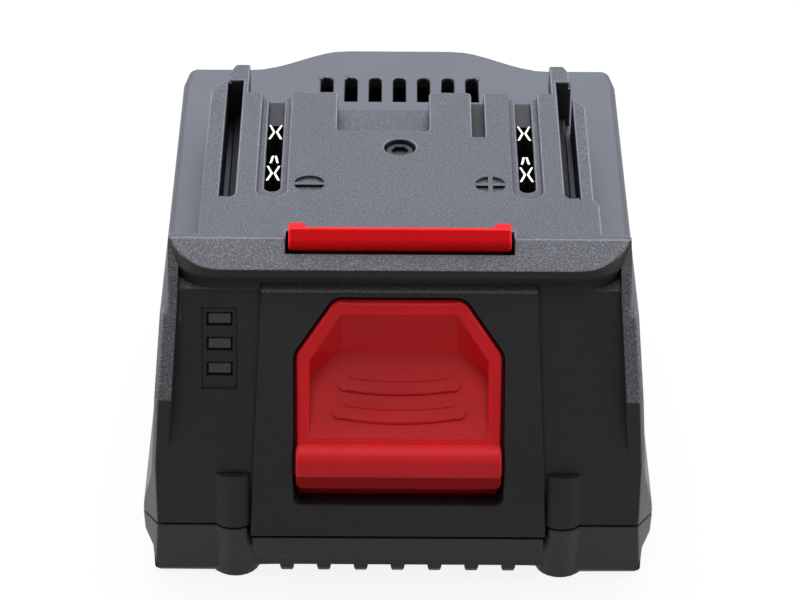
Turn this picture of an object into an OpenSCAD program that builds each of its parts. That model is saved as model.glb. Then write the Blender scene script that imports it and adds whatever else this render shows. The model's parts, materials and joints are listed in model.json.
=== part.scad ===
// Slide-on battery pack of a cordless power tool.
// Five round cells lie crosswise in a staggered stack, three below and two above. The deck on top
// carries the slide rails and the terminal slots, and a red sprung latch works in the front.
// X runs across the pack, Y from the latch to the vents, Z up. The origin is below the middle.

/* [Cells] */
// Diameter of one cell
cell_d = 18.4; // [17.5:0.1:21.5]
// Length of one cell
cell_l = 65; // [60:0.5:71]
// Plastic between two neighbouring cells
cell_gap = 0.8; // [0.6:0.1:1.6]
// Clearance round a cell in its holder
cell_fit = 0.1; // [0.05:0.05:0.3]
// Wall of the holder outside the cells
holder_rim = 0.9; // [0.7:0.1:2]
// Width of a holder along the cells
holder_w = 11; // [6:0.5:16]
// How far a cell stands out of its holder
cell_end = 1.5; // [0.8:0.1:3]
// Thickness of the welded link plates
link_t = 0.3; // [0.2:0.05:0.5]
// Width of the link plates and of the straps to the board
link_w = 8; // [5:0.5:10]

/* [Case] */
// Wall of both case halves
wall = 2; // [1.6:0.1:2.6]
// Room between the cell ends and the case sides
end_room = 0.3; // [0.2:0.1:1]
// Room above and behind the stack of cells
stack_room = 0.9; // [0.9:0.1:2]
// Height of the feet below the floor of the lower case
foot_h = 1.6; // [1:0.1:3]
// Height of the seam between the two halves
seam_z = 9.5; // [8:0.5:13]
// Gap that shows as a dark line along the seam
seam_gap = 0.3; // [0.1:0.05:0.5]
// How far the flanks spread from the shoulders down to the waist
flank_out = 1.5; // [0.6:0.1:3]
// How far the flanks flare from the waist down to the seam
flare = 1.7; // [1:0.1:3]
// Height of the waist above the seam
waist_h = 11; // [8:0.5:13]
// How far the sides draw in from the seam to the table
tuck = 1.7; // [1:0.1:3]
// Depth of the bay in front of the cells
latch_bay = 15.3; // [14.5:0.1:20]
// How far the middle of the back bulges out
hump_out = 6.5; // [5.5:0.1:9]
// Width of the flat top of the bulge
hump_w = 17; // [12:0.5:22]
// Width of the bulge where it leaves the back
hump_base_w = 49; // [44:0.5:56]
// Radius of the rear corners
corner_r = 1.2; // [0.8:0.1:3]
// How far the sides draw in at the rear corners
rear_bevel = 0.6; // [0.3:0.1:1.2]
// Length over which they draw in
rear_run = 4.8; // [3:0.2:8]
// Width of the bevel on the front corners above the flare
bevel_w = 0.6; // [0.4:0.1:1]
// Length of the bevels along the sides, for each millimetre of their width
bevel_run = 1.5; // [1:0.1:3]
// Rounding of the shoulder edges
shoulder_r = 1.2; // [0.6:0.1:1.8]
// Height where the front starts to lean back
kink_z = 23; // [21:0.5:26]
// Angle by which the upper front leans back
front_rake = 24; // [20:0.5:26]
// Height of the upright front of the two corner wings
wing_z = 32; // [29:0.5:34]
// Width of the front between the wings at its foot
front_w = 67.4; // [66:0.2:69]
// How much narrower that front is at its top
front_taper = 3; // [1:0.1:4]
// Height of the front's upper edge above the shoulders
ledge_h = 1.5; // [1:0.1:2]

/* [Deck] */
// Height of the rails above the shoulders
rail_h = 8.5; // [7.5:0.1:11]
// Width over the two rails
rail_span = 59; // [58:0.2:61]
// Distance from a rail's outer edge to the middle of its groove
groove_in = 3.8; // [3.4:0.1:4.2]
// How far a rail lip hangs over
lip_over = 1.3; // [0.8:0.1:1.4]
// Thickness of a rail lip
lip_t = 3.4; // [2.5:0.1:4.5]
// Thickness of the deck plate
deck_t = 2.5; // [2:0.1:3]
// Length of the deck from its front bend to its rear edge
deck_l = 43; // [41:0.5:46]
// Length of the visor in front of the bend
visor_l = 5.5; // [4.6:0.1:7]
// Width over which each end of the visor curves back to the bend
visor_turn = 9; // [6:0.5:14]
// Drop of the visor from the bend to its edge
visor_drop = 2.2; // [1.4:0.1:3]
// Thickness of the visor edge
visor_t = 1.3; // [1:0.1:2]
// Depth of the cove below the visor
cove_d = 2.4; // [1.6:0.1:3]
// Slope of the ledge in front of the cove
ledge_slope = 32; // [20:1:36]
// Distance between the two terminal slots
terminal_span = 38.2; // [36:0.2:40]
// Width of a terminal slot
slot_w = 2.4; // [2:0.1:3]
// Length of a terminal slot
slot_l = 21.2; // [19:0.2:23]
// Width of the shallow bed round a terminal slot
bed_w = 4.4; // [4:0.1:5.2]
// Depth of that bed
bed_d = 1; // [0.5:0.1:1.4]
// Width of the long groove in each rail
groove_w = 2.4; // [1.6:0.1:2.6]
// Depth of that groove
groove_d = 6.7; // [5:0.1:7]
// Width of the slit along the groove's outer side
slit_w = 0.8; // [0.5:0.1:1]
// Depth of that slit below the groove
slit_d = 1.2; // [0.6:0.1:1.5]
// How far the strip outside the right groove lies below the deck
strip_drop = 1.2; // [0.6:0.1:1.6]
// How much narrower that strip is
strip_in = 0.6; // [0.3:0.1:0.9]
// Distance between the polarity marks
mark_span = 27; // [25:0.2:29]
// Width of the notch in the rear edge
notch_w = 14.1; // [12:0.1:17]
// Length of that notch
notch_l = 12; // [10:0.5:14]
// Depth of that notch
notch_d = 3.3; // [2.6:0.1:4]
// Width of the narrow cut beside the right terminal
cut_w = 1.9; // [1.5:0.1:2.5]
// Diameter of the polarity marks
mark_d = 4.6; // [4:0.1:6]
// Width of a vent slot
vent_w = 2; // [1.4:0.1:2.6]
// Length of a vent slot
vent_l = 7.6; // [6:0.2:10]
// Spacing of the vent slots
vent_pitch = 3.9; // [3.4:0.1:4.4]

/* [Latch] */
// Width of the button
button_w = 30.2; // [27:0.2:32]
// Height of the foot of the button above the table
button_z = 17; // [16:0.5:19]
// Height of the button
button_h = 27; // [25.5:0.5:28]
// Width of the button's top edge
button_top_w = 18.8; // [16:0.2:22]
// Height of the slanted top corners of the button
button_cut = 7.5; // [6:0.1:9]
// Rounding of the button's corners
button_r = 2.2; // [1.4:0.1:3]
// Height of the lip at the foot of the scoop
lip_h = 7.2; // [6:0.1:8]
// Rounding of the top of the lip
lip_r = 2.4; // [1.6:0.1:2.8]
// Depth of the skirt that closes the window below the button
skirt_h = 5; // [4:0.1:6]
// How far the lip of the button stands out of the front
lip_out = 2; // [1.4:0.1:3.5]
// Clearance round the latch in its window
latch_fit = 0.4; // [0.3:0.1:0.8]
// Travel of the latch
latch_travel = 2.6; // [2.2:0.1:3.4]
// Height of the hook above the deck
hook_h = 2; // [1.4:0.1:2.6]
// Width of the hook bar
hook_w = 32.4; // [26:0.2:33]
// Width of the rim round the finger scoop
rim_w = 2; // [1.4:0.1:2.6]
// Width of the slanted rear corners of the scoop's floor
scoop_cut = 4.5; // [3:0.1:5]
// Width of the grip ribs in the scoop
rib_w = 2.1; // [1.4:0.1:2.6]
// Length of the lower grip rib
rib_l = 17.4; // [14:0.2:19]
// Outer diameter of a latch spring
spring_d = 5; // [4:0.1:6]
// Wire of a latch spring
wire_d = 0.7; // [0.5:0.05:0.9]
// Turns of a latch spring
spring_turns = 6; // [4:1:8]

/* [Front] */
// How far the middle panel stands out of the front
panel_out = 1; // [0.6:0.1:1.5]
// Width of the middle panel at its foot
panel_w = 44; // [42:0.5:46]
// How much narrower the panel is at its top
panel_taper = 3.8; // [2:0.1:5]
// Height of the foot of the panel above the table
panel_z = 7.9; // [7:0.1:8.3]
// Diameter of the screw columns
boss_d = 7.4; // [7:0.1:8]
// How far the screw columns stand out of the front
boss_out = 1.2; // [0.8:0.1:1.6]
// How far the columns lean back from the seam to the table
boss_lean = 1.1; // [0.8:0.1:1.6]
// Distance between the two front screws
boss_span = 48.8; // [47.5:0.2:51]
// Distance between the two rear screws
rear_span = 26; // [20:0.5:28]
// Width of a gauge window
lens_w = 3.7; // [3:0.1:4.5]
// Height of a gauge window
lens_h = 1.9; // [1.5:0.1:2.4]
// Spacing of the gauge windows
lens_pitch = 3.7; // [3.2:0.1:4.2]
// Thickness of the circuit boards
board_t = 1.6; // [1:0.1:2]

/* [Screws] */
// Diameter of a screw shank
screw_d = 2.9; // [2.5:0.1:3.5]
// Diameter of a screw head
head_d = 5; // [4.4:0.1:5.6]
// Height of a screw head
head_h = 2; // [1.5:0.1:2.6]
// Across the corners of the socket in a screw head
socket_d = 2.6; // [2:0.1:3]
// Diameter of the head of the deck screw
deck_head_d = 4.2; // [3.6:0.1:4.6]
// Height of the head of the deck screw
deck_head_h = 1; // [0.8:0.1:1.2]
// Length of a screw below its head
screw_l = 12; // [10:0.5:13]
// Clearance round a screw head
head_fit = 0.3; // [0.2:0.05:0.5]

/* [Hidden] */
$fn = 48;

dark = [0.18, 0.18, 0.19];
grey = [0.34, 0.34, 0.36];
red = [0.78, 0.08, 0.1];
over = 0.01;
past = 5;

// The stack of cells, from the floor up and from the latch bay back
pitch = cell_d + cell_gap;
row_rise = pitch * sin(60);
holder_r = cell_d / 2 + cell_fit + holder_rim;
floor_top = foot_h + wall;
low_z = floor_top + holder_r;
high_z = low_z + row_rise;
stack_top = high_z + holder_r;
case_l = wall + latch_bay + 2 * holder_r + 2 * pitch + stack_room + wall + hump_out;
front_y = (lip_out - case_l) / 2;
back_y = front_y + case_l;
wall_y = back_y - hump_out;
first_y = front_y + wall + latch_bay + holder_r;
cell_at = [
    [first_y, low_z],
    [first_y + pitch / 2, high_z],
    [first_y + pitch, low_z],
    [first_y + 1.5 * pitch, high_z],
    [first_y + 2 * pitch, low_z]
];

// Levels and widths of the case
shoulder_z = stack_top + stack_room + wall;
deck_z = shoulder_z + rail_h;
ceiling_z = shoulder_z - wall;
deck_under = deck_z - deck_t;
waist_z = seam_z + waist_h;
upper_z = seam_z + seam_gap;
inner_half = cell_l / 2 + link_t + end_room;
flank_lean = flank_out / (shoulder_z - waist_z);
shoulder_half = inner_half + wall - flank_lean * (shoulder_z - stack_top);
waist_half = shoulder_half + flank_out;
seam_half = waist_half + flare;
base_half = seam_half - tuck;
lean_y = tan(front_rake);
ledge_z = shoulder_z + ledge_h;
panel_top = ledge_z + 2.6;
visor_half = shoulder_half - shoulder_r;

// Lines of the deck, all measured from its front bend
bend_y = front_y + (ledge_z - kink_z) * lean_y + 3.2;
deck_back = bend_y + deck_l;
visor_y = bend_y - visor_l;
visor_z = deck_z - visor_drop;
post_t = 1.2;
rail_half = rail_span / 2;
web_half = rail_half - lip_over;
groove_x = rail_half - groove_in;
slot_x = terminal_span / 2;
slot_back = deck_back - 7.2;
slot_front = slot_back - slot_l;
bed_front = slot_front - 3.4;
groove_y = bend_y + 11.4;
mark_y = bend_y + 15.2;
mark_sink = 0.4;
notch_rim = 1.6;
cut_x = slot_x - 8;
skin = 0.4;
notch_x = -9.6;
notch_y = deck_back - notch_l;
screw_y = notch_y - 4.9;
groove_back = deck_back + 3.5;
nose_y = deck_back + 8.6;
nose_x = groove_x + 0.2;
nose_w = 2.3;
wing_lean = (bend_y - front_y) / (deck_z - wing_z);
bay_wall = 1.2;
bay_half = slot_x + bed_w / 2 + bay_wall;

// Lines of the latch
hook_half = hook_w / 2;
hook_front = bend_y - 2.2;
hook_back = bend_y + 1.5;
hook_foot = deck_z - 1.2;
stem_front = bend_y - 1;
button_top = button_z + button_h;
lip_y = front_y - lip_out;
lip_top = button_z + lip_h;
flange_w = 1.4;
flange_top = button_top - button_cut - 1;
scoop_y = stem_front - 1.2;
scoop_foot = button_top - 10.3;
scoop_front = lip_y + 1.9;
scoop_run = 2.9;
spring_y = (front_y + wall + stem_front) / 2 + 1.5;
spring_x = button_w / 2 - 6;
post_z = floor_top + 1.6;

// Screws and boards
boss_y = front_y + boss_d / 2 - boss_out;
boss_h = 9.6;
screw_y_front = boss_y + boss_lean;
screw_y_rear = wall_y + 0.6;
screw_z = foot_h + head_h - 1;
thread_fit = 0.1;
deck_sink = deck_head_h + 0.6;
deck_screw_l = 4.6;
board_z = stack_top + 0.8;
board_top = board_z + board_t;
board_half = slot_x + 1.4;
gauge_x = -(panel_w / 2 + 4.3);
gauge_s = 19.6;
gauge_foot = -2 * lens_pitch - lens_h / 2 - 1;
gauge_h = 2 * lens_pitch + lens_h + 1.6;
gauge_w = lens_w + 2;
gauge_sink = 0.6;
lens_sink = gauge_sink + 0.8;
lens_back = wall / cos(front_rake) * 1.1 + 1.2;
light_w = 1.6;
light_t = 1.2;
gauge_t = 1.2;

// Y of the raked front at a height, before the panel stands out of it
function face_y(z) = front_y + max(0, z - kink_z) * lean_y;

// Points of an arc round a centre
function arc(c, r, from, to, n = 6) = [
    for (i = [0:n]) let (a = from + (to - from) * i / n) c + r * [cos(a), sin(a)]
];

// Points of an S-curve between two points, flat at both ends
function ess(a, b, n = 8) = let (d = b - a) [
    for (i = [1:n - 1]) let (t = i / n) a + [d[0] * t, d[1] * (1 - cos(180 * t)) / 2]
];

// Points that round the corner at b between its neighbours a and c
function fillet(a, b, c, r, n = 5) = let (
    u = (a - b) / norm(a - b),
    v = (c - b) / norm(c - b),
    half = acos(u * v) / 2,
    mid = b + (u + v) / norm(u + v) * r / sin(half),
    p = b + u * r / tan(half) - mid,
    from = atan2(p[1], p[0])
) arc(mid, r, from, from + 180 - 2 * half, n);

// Copy a half outline to the other side of X = 0
function both(half) = concat(half, [for (i = [len(half) - 1:-1:0]) [-half[i][0], half[i][1]]]);

// A YZ outline run across the pack, and an XZ outline run along it
module across(w) {
    rotate([90, 0, 90]) linear_extrude(w, center = true) children();
}

module along(y0, y1) {
    translate([0, y1, 0]) rotate([90, 0, 0]) linear_extrude(y1 - y0) children();
}

module mirrored() {
    children();
    mirror([1, 0, 0]) children();
}

// A slot with a round front end, open or square at the back
module slot_2d(w, y0, y1) {
    translate([-w / 2, y0 + w / 2]) square([w, y1 - y0 - w / 2]);
    translate([0, y0 + w / 2]) circle(d = w);
}

// The outline of the pack seen from above: bevelled front corners, round rear ones and the bulge
function plan(half, y0, inset = 0) = let (
    y1 = wall_y - inset,
    r = corner_r,
    foot = hump_base_w / 2 - inset,
    crest = hump_w / 2 - inset / 2,
    yb = back_y - inset,
    bevel = bevel_w + max(0, half - waist_half)
) both(concat(
    [[half - bevel, y0], [half, y0 + bevel_run * bevel]],
    [[half, y1 - rear_run]],
    arc([half - rear_bevel - r, y1 - r], r, 0, 90, 4),
    [[foot, y1]],
    ess([foot, y1], [crest, yb]),
    [[crest, yb]]
));

// A solid through plan outlines at rising heights, all with the same number of points
module loft(levels) {
    n = len(levels[0][1]);
    top = len(levels) - 1;
    points = [for (l = levels) for (p = l[1]) [p[0], p[1], l[0]]];
    sides = [for (k = [0:top - 1]) for (i = [0:n - 1]) let (
        a = k * n + i,
        b = k * n + (i + 1) % n
    ) each [[a, a + n, b + n], [a, b + n, b]]];
    foot = [for (i = [0:n - 1]) i];
    lid = [for (i = [n - 1:-1:0]) top * n + i];
    polyhedron(points, concat([foot], sides, [lid]));
}

// Half width of the flanks at a height
function flank(z) = z < waist_z
    ? seam_half - flare * (1 - cos(180 * (z - seam_z) / waist_h)) / 2
    : waist_half - flank_lean * (z - waist_z);

// Y of the corner wings at a height: upright, then sloping back to the corner of the deck
function wing_y(z) = front_y + max(0, z - wing_z) * wing_lean;

// The upper case from the seam to the shoulders, solid
module upper_block() {
    r = shoulder_r;
    heights = [for (i = [0:5]) upper_z + (waist_z - upper_z) * i / 5];
    edge = [for (a = [0, 30, 60, 90]) [shoulder_z - r + r * sin(a), r * (1 - cos(a))]];
    loft(concat(
        [for (z = heights) [z, plan(flank(z), wing_y(z))]],
        [[wing_z, plan(flank(wing_z), wing_y(wing_z))]],
        [for (e = edge) [e[0], plan(flank(shoulder_z) - e[1], wing_y(e[0]) + e[1], e[1])]]
    ));
}

// The hollow of the upper case, behind the raked front
module upper_hollow() {
    flare_in = 0.5;
    levels = [seam_z - 1, waist_z, kink_z, ceiling_z];
    function half(z) = min(flank(max(z, seam_z)), waist_half + flare_in) - wall;
    loft([for (z = levels) [z, plan(half(z), face_y(z) + wall, wall)]]);
}

// The gap between the two corner wings, tapered as the front is
module wing_gap() {
    along(front_y - past, bend_y + 2) polygon(both([
        [front_w / 2, kink_z],
        [(front_w - front_taper) / 2, ledge_z],
        [(front_w - front_taper) / 2, deck_z]
    ]));
}

// What is cut away between the wings, ahead of the raked front
module front_cut() {
    intersection() {
        wing_gap();
        across(front_w) polygon([
            [front_y, kink_z],
            [face_y(deck_z), deck_z],
            [front_y - past, deck_z],
            [front_y - past, kink_z]
        ]);
    }
}

// The panel that stands out in the middle of the front
module panel() {
    intersection() {
        along(front_y - past, bend_y) polygon(both([
            [panel_w / 2, panel_z + seam_gap],
            [(panel_w - panel_taper) / 2, panel_top]
        ]));
        across(panel_w) polygon([
            [front_y - panel_out, panel_z + seam_gap],
            [front_y - panel_out, kink_z],
            [face_y(panel_top - 1.2) - panel_out, panel_top - 1.2],
            [face_y(panel_top), panel_top],
            [hook_front + 1, panel_top],
            [hook_front + 1, panel_top - wall],
            [front_y + wall, kink_z],
            [front_y + wall, panel_z + seam_gap]
        ]);
    }
}

// Front line of the visor block: full length in the middle, drawn back to the bend at the corners
function visor_line(reach, n = 8) = both(concat(
    [for (i = [n:-1:0]) let (t = i / n) [visor_half - visor_turn * t, bend_y - reach * (1 - pow(1 - t, 3))]],
    [[visor_half, bend_y + post_t]]
));

// The visor ahead of the deck over its cove, the sloping ledge below it and the two corner posts
module visor() {
    foot_z = shoulder_z - 3;
    under_z = visor_z - visor_t;
    ledge_half = (front_w - front_taper) / 2;
    levels = [for (i = [0:6]) let (t = i / 6) [ledge_z + (under_z - ledge_z) * t, cove_d * (1 - t * t)]];
    intersection() {
        loft(concat(
            [[foot_z, visor_line(visor_l - cove_d)]],
            [for (l = levels) [l[0], visor_line(visor_l - l[1])]],
            [[deck_z, visor_line(visor_l)]]
        ));
        across(2 * visor_half) polygon([
            [bend_y + 2, 0],
            [visor_y - 1, 0],
            [visor_y - 1, visor_z - visor_drop / visor_l],
            [bend_y, deck_z],
            [bend_y + 2, deck_z]
        ]);
    }
    across(2 * ledge_half) polygon([
        [bend_y + 1, foot_z],
        [face_y(foot_z), foot_z],
        [face_y(ledge_z), ledge_z],
        [bend_y + 1, ledge_z + (bend_y + 1 - face_y(ledge_z)) * tan(ledge_slope)]
    ]);
    difference() {
        across(2 * visor_half) polygon([
            [bend_y + post_t, foot_z],
            [wing_y(foot_z), foot_z],
            [bend_y, deck_z],
            [bend_y + post_t, deck_z]
        ]);
        wing_gap();
    }
}

// One rail: web, overhanging lip, and the narrow nose that leads it into the tool
module rail(full_to, narrow) {
    lead = 1.5;
    nose_in = nose_x - nose_w;
    taper_end = full_to + lead * (rail_half - nose_x);
    translate([0, 0, shoulder_z - over]) linear_extrude(rail_h + over) {
        polygon([
            [bay_half - 2, bend_y],
            [web_half, bend_y],
            [web_half, full_to + lead * lip_over],
            [nose_x, taper_end],
            [nose_in, taper_end],
            [nose_in, deck_back],
            [bay_half - 2, deck_back]
        ]);
        polygon([
            [nose_in, deck_back - 1],
            [groove_x + groove_w / 2, deck_back - 1],
            [groove_x + groove_w / 2, nose_y - 3],
            [nose_x, nose_y],
            [nose_in, nose_y]
        ]);
    }
    translate([0, 0, deck_z - lip_t]) linear_extrude(lip_t) polygon([
        [groove_x, bend_y],
        [rail_half, bend_y],
        [rail_half, groove_y - 2],
        [rail_half - narrow, groove_y - 0.4],
        [rail_half - narrow, full_to + lead * narrow],
        [nose_x, taper_end],
        [groove_x, taper_end]
    ]);
}

// The deck with its rails, still solid
module deck() {
    translate([-bay_half, bend_y, shoulder_z - over]) cube([2 * bay_half, deck_l, rail_h + over]);
    rail(deck_back - 3.1, strip_in);
    mirror([1, 0, 0]) rail(deck_back + 1, 0);
}

// The strip outside a groove lies a little lower than the deck
module ledge_cut(side, drop) {
    x = groove_x + groove_w / 2 - 0.3;
    y = groove_y - 0.2;
    r = 1.6;
    scale([side, 1, 1]) translate([0, 0, deck_z - drop]) linear_extrude(drop + 1) difference() {
        translate([x, y - r]) square([rail_half - x + 1, deck_l]);
        translate([x - 1, y - r]) square([rail_half - r - x + 1, r]);
        translate([rail_half - r, y - r]) circle(r = r);
    }
}

// What is cut from the top of the deck
module deck_cuts() {
    mirrored() translate([slot_x, 0, 0]) {
        translate([0, 0, deck_z - bed_d]) linear_extrude(bed_d + 1) slot_2d(bed_w, bed_front, deck_back + 1);
        translate([0, 0, deck_under - 1]) linear_extrude(deck_t + 2) slot_2d(slot_w, slot_front, slot_back);
        translate([-slot_w / 2, slot_back - over, deck_z - deck_t + 0.4]) cube([slot_w, deck_l, deck_t]);
    }
    mirrored() translate([groove_x, 0, deck_z]) {
        translate([0, 0, -groove_d]) linear_extrude(groove_d + 1) slot_2d(groove_w, groove_y, groove_back);
        translate([groove_w / 2 - slit_w, groove_y + 1, -groove_d - slit_d]) {
            cube([slit_w, groove_back - groove_y - 1, slit_d + 1]);
        }
    }
    ledge_cut(1, strip_drop);
    ledge_cut(-1, mark_sink);
    translate([notch_x, notch_y, deck_z - notch_d]) cube([notch_w, deck_l, notch_d + 1]);
    translate([cut_x, notch_y - 1.6, deck_under + skin]) cube([cut_w, deck_l, deck_t]);
    mirrored() translate([mark_span / 2, mark_y, deck_z - mark_sink]) cylinder(d = mark_d, h = 1);
    translate([0, screw_y, deck_z - deck_sink]) cylinder(d = deck_head_d + 2 * head_fit, h = 3);
    translate([0, screw_y, deck_under - 1]) cylinder(d = screw_d + 2 * head_fit, h = deck_t + 2);
}

// Raised bar and cross inside the polarity marks
module marks() {
    line = 0.7;
    translate([0, mark_y, deck_z - mark_sink]) linear_extrude(mark_sink) {
        for (side = [-1, 1]) translate([side * mark_span / 2, 0]) square([mark_d, line], center = true);
        translate([mark_span / 2, 0]) square([line, mark_d], center = true);
    }
}

// The hollow under the deck, kept off the notch at its rear edge
module deck_bay() {
    difference() {
        translate([bay_wall - bay_half, bend_y + wall, ceiling_z - 1]) {
            cube([2 * bay_half - 2 * bay_wall, deck_l - 2 * wall, deck_under - ceiling_z + 1]);
        }
        translate([notch_x - notch_rim, notch_y - notch_rim, deck_z - notch_d - notch_rim]) {
            cube([notch_w + 2 * notch_rim, deck_l, notch_d + 2 * notch_rim]);
        }
    }
}

// Outline of the button seen from the front, grown by a clearance
module button_2d(grow, z0) {
    r = max(0.6, button_r + grow);
    foot = [button_w / 2 + grow, z0];
    side = [button_w / 2 + grow, button_top - button_cut + grow / 2];
    crown = [button_top_w / 2 + grow / 2, button_top + grow];
    polygon(both(concat(
        fillet([0, z0], foot, side, r / 2),
        fillet(foot, side, crown, r),
        fillet(side, crown, [0, crown[1]], r)
    )));
}

// Room for the latch: the window, the shaft behind the panel and the slot for the hook
module latch_room() {
    bottom = button_z - latch_travel - latch_fit;
    slot_w = hook_w + 2 * latch_fit;
    along(front_y - 10, front_y + latch_bay) button_2d(latch_fit, bottom);
    translate([-slot_w / 2, hook_front - latch_fit, hook_foot - latch_travel - latch_fit]) {
        cube([slot_w, hook_back - hook_front + 2 * latch_fit, 20]);
    }
    translate([-slot_w / 2, stem_front - latch_fit, kink_z]) {
        cube([slot_w, hook_back - stem_front + 2 * latch_fit, deck_z]);
    }
}

// Place things on the raked front: X across, Z up along the face, Y into the case
module on_face() {
    translate([0, front_y, kink_z]) rotate([-front_rake, 0, 0]) children();
}

// Three gauge windows in a shallow recess
module gauge_cuts() {
    on_face() translate([gauge_x, 0, gauge_s]) {
        translate([-lens_w / 2 - 0.7, -2, -2 * lens_pitch - lens_h / 2 - 1.9]) {
            cube([lens_w + 1.4, 2 + gauge_sink, 2 * lens_pitch + lens_h + 2.7]);
        }
        for (i = [0:2]) translate([-lens_w / 2, -2, -i * lens_pitch - lens_h / 2]) cube([lens_w, 10, lens_h]);
    }
}

// Screw axes of the case
module at_screws() {
    mirrored() translate([boss_span / 2, screw_y_front, 0]) children();
    mirrored() translate([rear_span / 2, screw_y_rear, 0]) children();
}

// Columns of the upper case, with a core that stands on the columns of the lower one
module upper_columns() {
    for (place = [[boss_span / 2, boss_y], [rear_span / 2, screw_y_rear]]) mirrored() translate(place) {
        translate([0, 0, upper_z]) cylinder(d = boss_d, h = boss_h - seam_gap);
        translate([0, 0, seam_z]) cylinder(d = boss_d - 2, h = boss_h);
    }
}

// Columns of the lower case: the front ones lean back towards the table
module lower_columns() {
    ring = [for (y = [screw_y_front, boss_y]) arc([boss_span / 2, y], boss_d / 2, 0, 345, 23)];
    mirrored() {
        loft([[0, ring[0]], [seam_z, ring[1]]]);
        translate([rear_span / 2, screw_y_rear, 0]) cylinder(d = boss_d, h = seam_z);
    }
}

module upper_case() {
    color(dark) difference() {
        union() {
            difference() {
                union() {
                    difference() {
                        upper_block();
                        front_cut();
                    }
                    panel();
                    visor();
                    deck();
                }
                upper_hollow();
                deck_bay();
                deck_cuts();
            }
            marks();
            intersection() {
                upper_columns();
                translate([0, 0, seam_z]) linear_extrude(2 * boss_h) {
                    polygon(plan(seam_half, front_y - boss_out, -boss_out));
                }
            }
        }
        latch_room();
        gauge_cuts();
        at_screws() cylinder(d = screw_d + thread_fit, h = screw_z + screw_l + 0.5);
        for (i = [-3:3]) translate([i * vent_pitch, wall_y - 3.4 - vent_l, ceiling_z - 1]) {
            linear_extrude(wall + 2) translate([-vent_w / 2, 0]) square([vent_w, vent_l]);
        }
    }
}

// The lower case: floor, low walls that step in half way down, feet and the pad below the panel
module lower_block() {
    draft = 1.6;
    edge = 1;
    step_top = seam_z - 3;
    step_foot = step_top - 1.8;
    intersection() {
        along(front_y - past, back_y + past) polygon(both([
            [base_half - edge / 2, 0],
            [base_half, edge],
            [base_half + 0.3, step_foot],
            [seam_half - 0.2, step_top],
            [seam_half, seam_z]
        ]));
        linear_extrude(seam_z) polygon(plan(seam_half, front_y));
        across(2 * seam_half) polygon([
            [front_y + draft, 0],
            [front_y + draft / 2, edge],
            [front_y, seam_z],
            [back_y, seam_z],
            [back_y - draft / 2, edge],
            [back_y - draft, 0]
        ]);
    }
}

module lower_hollow() {
    rear_wall = wall + stack_room / 2;
    translate([0, 0, floor_top]) linear_extrude(seam_z) {
        polygon(plan(base_half - wall, front_y + wall, rear_wall));
    }
}

// Tapered ribs below the floor, between the two side skids
module feet_cut() {
    half = panel_w / 2 + 0.2;
    count = 7;
    step = 2 * half / (count + 1);
    tip = 0.7;
    root = 1.2;
    along(front_y - past, back_y + past) difference() {
        polygon([[-half - 1, -1], [half + 1, -1], [half, foot_h], [-half, foot_h]]);
        for (i = [1:count]) translate([i * step - half, 0]) {
            polygon([[-tip, -2], [tip, -2], [root, foot_h + 1], [-root, foot_h + 1]]);
        }
    }
}

module lower_case() {
    pad_half = panel_w / 2 - 0.3;
    pad_z = panel_z - 3.7;
    pad_r = 2.3;
    color(grey) difference() {
        union() {
            difference() {
                union() {
                    lower_block();
                    along(front_y - panel_out, front_y + 1) polygon(both(concat(
                        [[0, pad_z]],
                        arc([pad_half - pad_r, pad_z + pad_r], pad_r, -90, 0),
                        [[pad_half, panel_z]]
                    )));
                }
                lower_hollow();
                feet_cut();
            }
            intersection() {
                lower_columns();
                linear_extrude(seam_z) polygon(plan(seam_half, front_y - boss_out, -boss_out));
            }
            mirrored() translate([spring_x, spring_y, foot_h + 0.5]) {
                cylinder(d = spring_d + 2, h = post_z - foot_h - 0.5);
                cylinder(d = spring_d - 2 * wire_d - 0.6, h = post_z - foot_h + 2.5);
            }
        }
        translate([-panel_w / 2 - seam_gap, front_y - past, panel_z]) {
            cube([panel_w + 2 * seam_gap, past + wall + seam_gap, seam_z]);
        }
        at_screws() {
            translate([0, 0, -1]) cylinder(d = head_d + 2 * head_fit, h = screw_z + 1);
            cylinder(d = screw_d + 2 * head_fit, h = seam_z + 1);
        }
    }
}

// One end frame round the five cells, with pads that carry the board
module cell_holder() {
    x0 = cell_l / 2 - cell_end - holder_w;
    pad_y = [cell_at[1][0], cell_at[3][0]];
    difference() {
        translate([x0, 0, 0]) rotate([90, 0, 90]) linear_extrude(holder_w) {
            for (c = cell_at) translate(c) circle(r = holder_r);
            translate([cell_at[0][0] - holder_r, floor_top]) square([2 * pitch + 2 * holder_r, holder_r]);
            translate([cell_at[0][0], low_z]) square([2 * pitch, row_rise / 2]);
            translate([cell_at[1][0], low_z]) square([pitch, row_rise + holder_r]);
        }
        for (c = cell_at) translate([0, c[0], c[1]]) rotate([0, 90, 0]) {
            cylinder(r = cell_d / 2 + cell_fit, h = cell_l);
        }
    }
    for (y = pad_y) translate([board_half - 4, y - 2, stack_top - 0.5]) {
        cube([x0 + holder_w / 2 - board_half + 4, 4, board_z - stack_top + 0.5]);
    }
}

module cell_holder_left() {
    color([0.12, 0.12, 0.13]) mirror([1, 0, 0]) cell_holder();
}

module cell_holder_right() {
    color([0.12, 0.12, 0.13]) cell_holder();
}

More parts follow.
